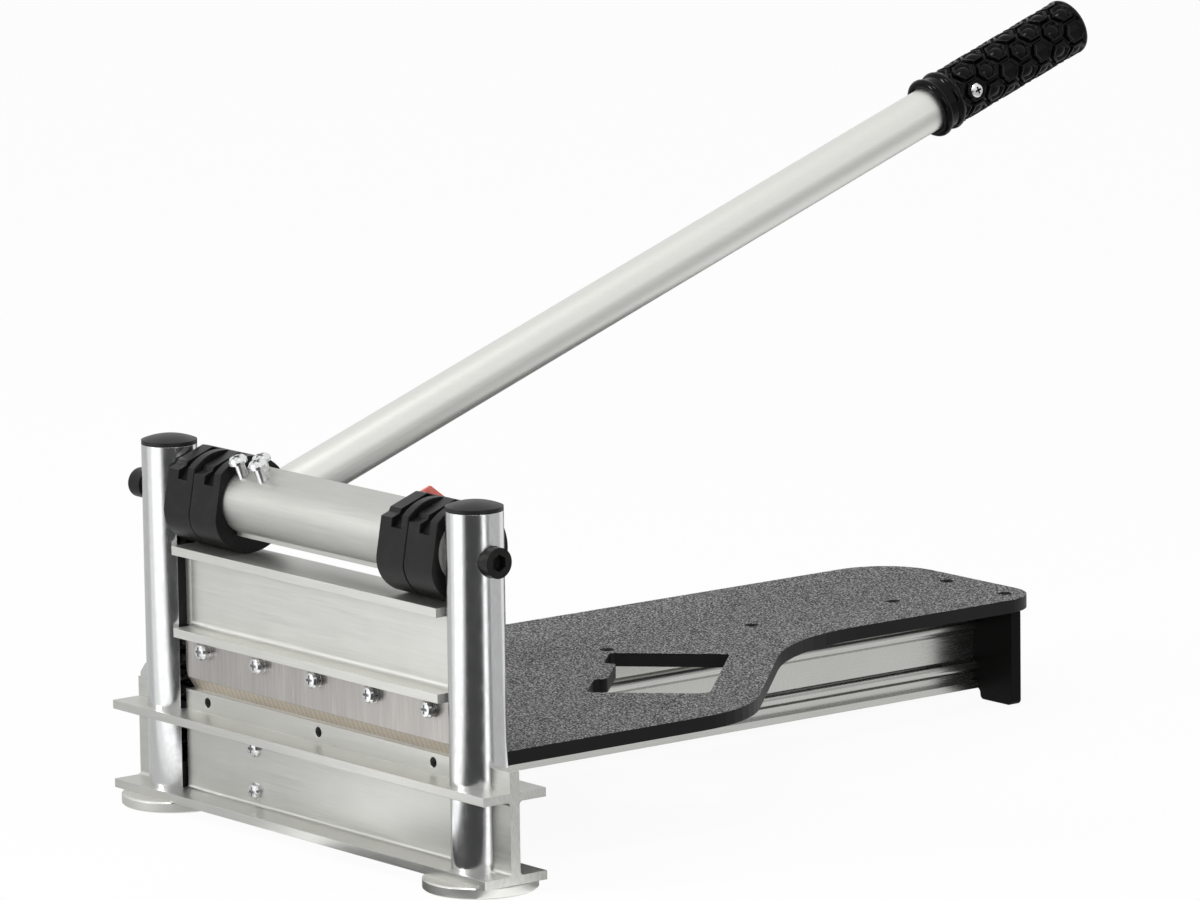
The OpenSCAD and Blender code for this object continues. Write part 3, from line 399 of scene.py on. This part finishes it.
def groundSteel(name, tip):
    settings = bladeSettings
    finish = Finish(name, metallic=1.0)
    lines = finish.noise(**settings["lines"])
    broad = finish.noise(**settings["broad"])
    front = finish.mix(finish.grade(lines + broad * settings["broadShare"],
                                    settings["frontLevels"]),
                       grey(*settings["frontDark"]), grey(*settings["frontLight"]))
    wave = finish.add("ShaderNodeTexWave", {"bands_direction": "X"},
                      {"Vector": finish.spot(), "Scale": settings["waveScale"],
                       "Distortion": settings["waveBend"]})
    ground = finish.mix(wave, settings["bevelDark"], settings["bevelLight"])
    upperEdge = [tip + settings["bevel"] + change for change in settings["bevelFade"]]
    below = finish.grade(finish.axis("Z"), upperEdge, (1.0, 0.0))
    height = lines + wave * below * settings["waveHeight"]
    corners = finish.rounded(settings["corner"])
    finish.set(colour=finish.mix(below, front, ground),
               roughness=finish.grade(lines, settings["roughLevels"], settings["roughness"]),
               normal=finish.bump(height, settings["depth"], settings["relief"], corners))
    return finish.material


# The other finishes: one soft pattern between two colours, and a roughness that follows it
plainSettings = {
    "oxide": {  # black oxide on steel: dark, slightly oily
        "name": "black oxide",
        "surface": {"metallic": 0.3, "specular": 0.16},
        "pattern": {"size": 0.003, "detail": 4.0, "roughness": 0.6},
        "colours": (grey(0.005), grey(0.022, 0.04)),
        "roughness": (0.3, 0.45),
        "depth": 0.00003,
        "relief": 0.4,
        "edge": 0.0004,
    },
    "lever": {  # satin anodised tube: soft sheen, hair lines along the tube
        "name": "satin tube",
        "surface": {"metallic": 1.0},
        "pattern": {"size": 0.0007, "stretch": (1, 0.02, 1), "detail": 3.0, "roughness": 0.6,
                    "turn": (math.radians(-20), 0, 0)},
        "colours": (aluminium(0.66), aluminium(0.72)),
        "roughness": (0.36, 0.46),
        "depth": 0.00002,
        "relief": 0.25,
        "edge": 0.0003,
    },
    "grip": {  # glossy rubber with a faint bloom
        "name": "grip rubber",
        "surface": {"ior": 1.5, "specular": 0.11},
        "pattern": {"size": 0.004, "detail": 4.0, "roughness": 0.6},
        "colours": (grey(0.001), grey(0.003)),
        "roughness": (0.08, 0.15),
        "depth": 0.00004,
        "relief": 0.3,
    },
    "red": {
        "name": "red plastic",
        "surface": {"ior": 1.5},
        "pattern": {"size": 0.003, "detail": 3.0, "roughness": 0.5},
        "colours": ((0.8, 0.13, 0.1, 1), (0.88, 0.24, 0.19, 1)),
        "roughness": (0.3, 0.4),
        "depth": 0.00003,
        "relief": 0.3,
        "edge": 0.0004,
    },
    "spring": {  # spring wire, painted near black as shade, so the slot in the post where it sits reads black
        "name": "spring wire",
        "surface": {"metallic": 1.0},
        "pattern": {"size": 0.003, "detail": 4.0, "roughness": 0.6},
        "colours": (grey(0.015), grey(0.05, 0.03)),
        "roughness": (0.28, 0.45),
        "depth": 0.00003,
        "relief": 0.3,
    },
}
plainLevels = (0.3, 0.7)


def plain(settings):
    finish = Finish(settings["name"], **settings["surface"])
    pattern = finish.noise(**settings["pattern"])
    edges = finish.rounded(settings["edge"]) if "edge" in settings else None
    finish.set(colour=finish.mix(pattern, *settings["colours"]),
               roughness=finish.grade(pattern, plainLevels, settings["roughness"]),
               normal=finish.bump(pattern, settings["depth"], settings["relief"], edges))
    return finish.material


print("materials")
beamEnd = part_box("lower_beam")[1].x
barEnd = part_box("crossbar")[1].x
carrierEnd = 0.117  # where the flanges are sawn, short of the posts that guide the carrier
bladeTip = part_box("blade")[0].z
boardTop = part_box("table_board")[1].z
camJoint = (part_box("right_inner_cam")[1].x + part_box("right_outer_cam")[0].x) / 2

materials = {
    "beam": extruded("sawn beam", "X", tone=0.59, roughness=0.38, ends=beamEnd),
    "carrier": extruded("carrier", "X", tone=0.65, roughness=0.42, ends=carrierEnd),
    "bar": extruded("crossbar", "X", tone=0.5, roughness=0.5, ends=barEnd),
    "rail": extruded("rail", "Y", tone=0.5, roughness=0.24, relief=0.1),
    "post": brightZinc("post zinc", tone=0.72, roughness=0.16),
    "disc": extruded("disc", "Y", tone=0.66, roughness=0.4),
    "zinc": brightZinc("screw zinc", tone=0.75, roughness=0.2),
    "cap": moulded("cap plastic", tone=0.012, roughness=0.36, scuff=0.01, shine=0.2),
    "cam": moulded("cam plastic", tone=0.008, roughness=0.34, scuff=0.01, shine=0.18,
                   parting=camJoint),
    "foot": moulded("foot plastic", tone=0.003, roughness=0.4, scuff=0.003, shine=0.06),
    "oxide": plain(plainSettings["oxide"]),
    "board": speckledBoard("speckled board", boardTop),
    "blade": groundSteel("ground blade", bladeTip),
    "lever": plain(plainSettings["lever"]),
    "grip": plain(plainSettings["grip"]),
    "red": plain(plainSettings["red"]),
    "spring": plain(plainSettings["spring"]),
}

finishOf = {
    "beam": ["lower_beam"],
    "carrier": ["blade_carrier"],
    "bar": ["crossbar"],
    "rail": ["rail"],
    "post": ["left_post", "right_post"],
    "disc": ["left_foot_disc", "right_foot_disc"],
    "zinc": ["blade_screws", "blade_washers", "blade_split_washers", "clamp_screws",
             "grip_screw", "web_screws", "rear_foot_screws", "lip_end_tab",
             "left_pivot_sleeve", "right_pivot_sleeve"],
    "cap": ["left_post_cap", "right_post_cap", "left_guide_shoe", "right_guide_shoe"],
    "cam": ["left_outer_cam", "left_inner_cam", "right_inner_cam", "right_outer_cam"],
    "foot": ["rear_foot", "table_screws"],
    "oxide": ["left_pivot_bolt", "right_pivot_bolt", "foot_screws", "left_post_plug",
              "right_post_plug"],
    "board": ["table_board"],
    "blade": ["blade"],
    "lever": ["lever_tube"],
    "grip": ["grip"],
    "red": ["red_tab"],
    "spring": ["left_lift_spring", "right_lift_spring"],
}

for finishName, names in finishOf.items():
    for name in names:
        piece = nodes[name]
        piece.data.materials.clear()
        piece.data.materials.append(materials[finishName])

# Grip: two rings, then a honeycomb of raised hexagons, each with a rim round a dome or a dish.
# Lengths are in millimetres, and places count along the lever from the bar
gripSettings = {
    "bar": (-55.7, 6.7, 172.0),  # middle of the lever's bore on the bar's axis
    "rise": 20,
    "lift": 0.5,
    "end": 602.75,
    "bore": 12.8,
    "mouth": 6,  # the skin starts this far past the first ring's place, in the bore
    "mouthAngle": 225,
    "rings": [(492.4, 17.4), (502.0, 17.3)],  # place and outer radius
    "ringRadius": 2.7,
    "ringSteps": (12, 8),
    "waist": 15.7,
    "body": 16.2,
    "rim": 3.0,
    "rimOuter": 16.38,
    "rimSteps": 9,
    "rimGap": 1.0,
    "endShares": (0.93, 0.6, 0.3, 0.0),  # of the flat end's radius
    "around": 224,
    "step": 0.5,
    "rows": 14,
    "rowAngle": 7,
    "rowStart": 515.4,
    "pitch": 26.1,
    "plate": 6.0,  # half the width of a hexagon's top
    "slope": 0.7,
    "groove": 2.4,
    "frame": 1.1,  # rim round each hexagon
    "dome": 1.5,
    "dish": 0.5,
    "dishedRow": 7,  # every seventh row is dished, the others are domed
    "ringClear": 2.5,  # no relief this close to the second ring's place
    "rimClear": 0.5,
    "fade": 1.5,
    "merge": 0.00001,  # in metres
    "smoothAngle": 40,
}


# A place round the lever, from its middle line, in metres
def leverPoint(settings, across, along, height):
    rise = math.radians(settings["rise"])
    barX, barY, barZ = settings["bar"]
    high = height + settings["lift"]
    return np.stack([barX + across,
                     barY + along * math.cos(rise) - high * math.sin(rise),
                     barZ + along * math.sin(rise) + high * math.cos(rise)], axis=-1) * millimetre


# Places and radii from the bore's mouth, over the rings and the body, to the middle of the end
def gripOutline(settings):
    radius = settings["ringRadius"]
    (firstPlace, firstOuter), (nextPlace, nextOuter) = settings["rings"]
    first, second = firstOuter - radius, nextOuter - radius
    firstSteps, nextSteps = settings["ringSteps"]

    def arc(place, middle, size, low, high, count):
        angles = np.radians(np.linspace(low, high, count))
        return [(place + size * math.cos(angle), middle + size * math.sin(angle))
                for angle in angles]

    def down(level, middle):
        return math.degrees(math.asin((level - middle) / radius))

    points = [(firstPlace + settings["mouth"], settings["bore"])]
    points += arc(firstPlace, first, radius, settings["mouthAngle"],
                  down(settings["waist"], first), firstSteps)
    points += arc(nextPlace, second, radius, 180 - down(settings["waist"], second),
                  down(settings["body"], second), nextSteps)
    rimStart = settings["end"] - settings["rim"]
    rimMiddle = settings["rimOuter"] - settings["rim"]
    places = np.arange(points[-1][0] + settings["step"], rimStart - settings["rimGap"],
                       settings["step"])
    points += [(place, settings["body"]) for place in places]
    points += arc(rimStart, rimMiddle, settings["rim"], 90, 0, settings["rimSteps"])
    points += [(settings["end"], share * rimMiddle) for share in settings["endShares"]]
    return np.array(points)


# How far the skin lies below the hexagons' rims. The points of the hexagons lie along the lever
def honeycomb(settings, along, angle):
    rowStep = 2 * math.pi / settings["rows"]
    turns = (angle - math.radians(settings["rowAngle"])) / rowStep
    nearest = np.full(along.shape, np.inf)
    domed = np.zeros(along.shape)
    middle = np.zeros(along.shape)
    for shift in (-1, 0, 1):
        row = np.round(turns) + shift
        start = settings["rowStart"] + np.mod(row, 2) * settings["pitch"] / 2
        cell = np.round((along - start) / settings["pitch"])
        lengthways = np.abs(along - start - cell * settings["pitch"])
        across = np.abs(turns - row) * rowStep * settings["body"]
        away = np.maximum(across, across / 2 + lengthways * math.sqrt(0.75))  # grows in hexagons
        domed = np.where(away < nearest, np.mod(row, settings["dishedRow"]) != 0, domed)
        middle = np.where(away < nearest, np.hypot(across, lengthways), middle)
        nearest = np.minimum(nearest, away)
    fall = np.clip((nearest - settings["plate"]) / settings["slope"], 0, 1)
    fall = fall * fall * (3 - 2 * fall)
    inner = settings["plate"] - settings["frame"]
    inside = np.clip((inner - nearest) / settings["slope"], 0, 1)
    dome = np.clip(middle / inner, 0, 1) ** 2 * settings["dome"]
    return fall * settings["groove"] + inside * np.where(domed, dome, settings["dish"])


# Turns the active mesh's faces outwards, once points that meet are merged
def closeUp(merge=None):
    bpy.ops.object.mode_set(mode="EDIT")
    bpy.ops.mesh.select_all(action="SELECT")
    if merge is not None:
        bpy.ops.mesh.remove_doubles(threshold=merge)
    bpy.ops.mesh.normals_make_consistent(inside=False)
    bpy.ops.object.mode_set(mode="OBJECT")


# A flat grid is rolled round the lever, so its seam and its pole are merged afterwards
def makeGrip(settings):
    print("grip")
    outline = gripOutline(settings)
    rows, columns = len(outline) - 1, settings["around"]
    bpy.ops.object.select_all(action="DESELECT")
    bpy.ops.mesh.primitive_grid_add(x_subdivisions=columns, y_subdivisions=rows, size=2)
    grip = bpy.context.object
    grip.name = "honeycomb_grip"
    flat = np.empty(len(grip.data.vertices) * 3)
    grip.data.vertices.foreach_get("co", flat)
    flat = flat.reshape(-1, 3)
    angle = np.round((flat[:, 0] + 1) / 2 * columns) / columns * 2 * math.pi
    place = outline[np.round((flat[:, 1] + 1) / 2 * rows).astype(int)]
    along, radius = place[:, 0], place[:, 1]
    ringPlace = settings["rings"][1][0]
    pastRing = along - ringPlace - settings["ringClear"]
    beforeRim = settings["end"] - settings["rim"] - settings["rimClear"] - along
    relief = np.clip(pastRing / settings["fade"], 0, 1)
    relief = relief * np.clip(beforeRim / settings["fade"], 0, 1)
    radius = radius - honeycomb(settings, along, angle) * relief
    rolled = leverPoint(settings, radius * np.cos(angle), along, radius * np.sin(angle))
    rolled[:, 1] += beamMiddle
    grip.data.vertices.foreach_set("co", rolled.ravel())
    grip.data.update()
    closeUp(settings["merge"])
    bpy.ops.object.shade_smooth_by_angle(angle=math.radians(settings["smoothAngle"]))
    grip.data.materials.append(materials["grip"])
    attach(grip, "lever")
    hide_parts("grip")


makeGrip(gripSettings)

# The shade in the cross of the grip's screw: two dark bars deep in the recess, in millimetres
crossSettings = {
    "along": 514.9,
    "angle": 7,
    "bottom": 16.3,
    "top": 17.25,
    "length": 4.1,
    "width": 1.06,
    "skew": 0.03,  # the second bar lies this much lower
}


def makeCross(settings):
    print("cross")
    turn = math.radians(settings["angle"])
    depth = settings["top"] - settings["bottom"]
    bars = []
    for flip in (False, True):
        bpy.ops.mesh.primitive_cube_add(size=1)
        bar = bpy.context.object
        for vertex in bar.data.vertices:
            longer = vertex.co.x * settings["length"]
            wider = vertex.co.y * settings["width"]
            out = settings["bottom"] + (vertex.co.z + 0.5) * depth - flip * settings["skew"]
            along, side = (wider, longer) if flip else (longer, wider)
            across = out * math.cos(turn) - side * math.sin(turn)
            height = out * math.sin(turn) + side * math.cos(turn)
            place = leverPoint(gripSettings, across, settings["along"] + along, height)
            vertex.co = (place[0], place[1] + beamMiddle, place[2])
        bars.append(bar)
    bpy.ops.object.select_all(action="DESELECT")
    for bar in bars:
        bar.select_set(True)
    bpy.ops.object.join()
    cross = bpy.context.object
    cross.name = "grip_screw_shade"
    closeUp()
    cross.data.materials.append(materials["foot"])
    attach(cross, "lever")


makeCross(crossSettings)

# Floor and light. White is how much of the floor's own colour gives way to plain white
stageSettings = {
    "floorSize": 14,
    "floorTone": 0.9,
    "floorRoughness": 0.9,
    "ambient": 0.62,
    "white": 0.94,
    "aimHeight": 0.12,
}
lightSettings = [
    {"name": "left softbox", "azimuth": -72, "distance": 2.6, "height": 1.1,
     "size": (0.5, 1.2), "power": 34},
    {"name": "right strip", "azimuth": 30, "distance": 2.6, "height": 0.9,
     "size": (0.45, 1.8), "power": 12},
    {"name": "top softbox", "azimuth": -20, "distance": 0.6, "height": 2.4,
     "size": (0.6, 0.6), "power": 12},
]
# What the metal mirrors: sheets on the table round the cutter, each with a wall behind it
sheetSettings = {
    "inner": 0.03,
    "outer": 1.5,
    "wall": 0.5,
    "lift": 0.0006,
    "columns": 12,
    "sheets": [
        {"name": "grey_sheet_left", "from": -180, "to": -104, "tone": 0.62},
        {"name": "soft_sheet_left", "from": -94, "to": -84, "tone": 1.0},
        {"name": "white_sheet_left", "from": -84, "to": -40, "tone": 1.5},
        {"name": "mid_sheet_left", "from": -40, "to": -31, "tone": 0.55},
        {"name": "black_sheet_front", "from": -31, "to": 26, "tone": 0.07},
        {"name": "mid_sheet_right", "from": 26, "to": 31, "tone": 0.35},
        {"name": "white_sheet_right", "from": 31, "to": 42, "tone": 1.5},
        {"name": "dark_sheet_right", "from": 45, "to": 57, "tone": 0.32},
        {"name": "grey_sheet_right", "from": 58, "to": 110, "tone": 0.6},
        {"name": "dark_sheet_rear", "from": 146, "to": 180, "tone": 0.25},
    ],
}


# A place round the object, at an azimuth counted from the camera's
def around(azimuth, distance, height):
    angle = math.radians(cameraSettings["azimuth"] + azimuth)
    middle = Vector((0, beamMiddle, stageSettings["aimHeight"]))
    return middle + Vector((math.sin(angle) * distance, -math.cos(angle) * distance, height))


def makeStage(settings):
    print("floor and light")
    bpy.ops.mesh.primitive_plane_add(size=settings["floorSize"])
    floor = bpy.context.object
    floor.name = "floor"
    paper = Finish("floor paper", roughness=settings["floorRoughness"],
                   colour=grey(settings["floorTone"]))
    surface = Socket(paper, paper.shader.outputs[0])
    paper.show(paper.add("ShaderNodeMixShader", None,
                         {0: paper.seen() * settings["white"], 1: surface, 2: paper.glow(1.0)}))
    floor.data.materials.append(paper.material)

    world = bpy.data.worlds.new("studio")
    bpy.context.scene.world = world
    world.use_nodes = True
    sky = NodeShop(world.node_tree)
    back = sky.tree.nodes["Background"]
    sky.feed(back.inputs["Color"], grey(1))
    sky.feed(back.inputs["Strength"],
             sky.grade(sky.seen(), (0.0, 1.0), (settings["ambient"], 1.0)))


def makeLight(settings):
    lamp = bpy.data.lights.new(settings["name"], "AREA")
    lamp.shape = "RECTANGLE"
    lamp.size, lamp.size_y = settings["size"]
    lamp.energy = settings["power"]
    light = bpy.data.objects.new(settings["name"], lamp)
    bpy.context.scene.collection.objects.link(light)
    light.location = around(settings["azimuth"], settings["distance"], settings["height"])
    aim = around(0, 0, 0) - light.location
    light.rotation_euler = aim.to_track_quat("-Z", "Y").to_euler()


# A sheet is a flat grid of two rows, spread into a sector on the table and up its wall.
# Only mirrors see it
def makeSheet(settings, sheet):
    bpy.ops.mesh.primitive_grid_add(x_subdivisions=settings["columns"], y_subdivisions=2, size=2)
    card = bpy.context.object
    card.name = sheet["name"]
    for vertex in card.data.vertices:
        share = (vertex.co.x + 1) / 2
        line = round(vertex.co.y)  # -1 by the cutter, 0 at the wall's foot, 1 at its top
        azimuth = sheet["from"] + share * (sheet["to"] - sheet["from"])
        place = around(azimuth, settings["inner"] if line < 0 else settings["outer"], 0)
        vertex.co = (place.x, place.y, settings["wall"] if line > 0 else settings["lift"])
    card.visible_camera = False
    card.visible_diffuse = False
    card.visible_shadow = False
    card.visible_transmission = False
    paper = Finish(sheet["name"])
    paper.show(paper.glow(sheet["tone"]))
    card.data.materials.append(paper.material)


makeStage(stageSettings)
for settings in lightSettings:
    makeLight(settings)
for sheet in sheetSettings["sheets"]:
    makeSheet(sheetSettings, sheet)

print("done")
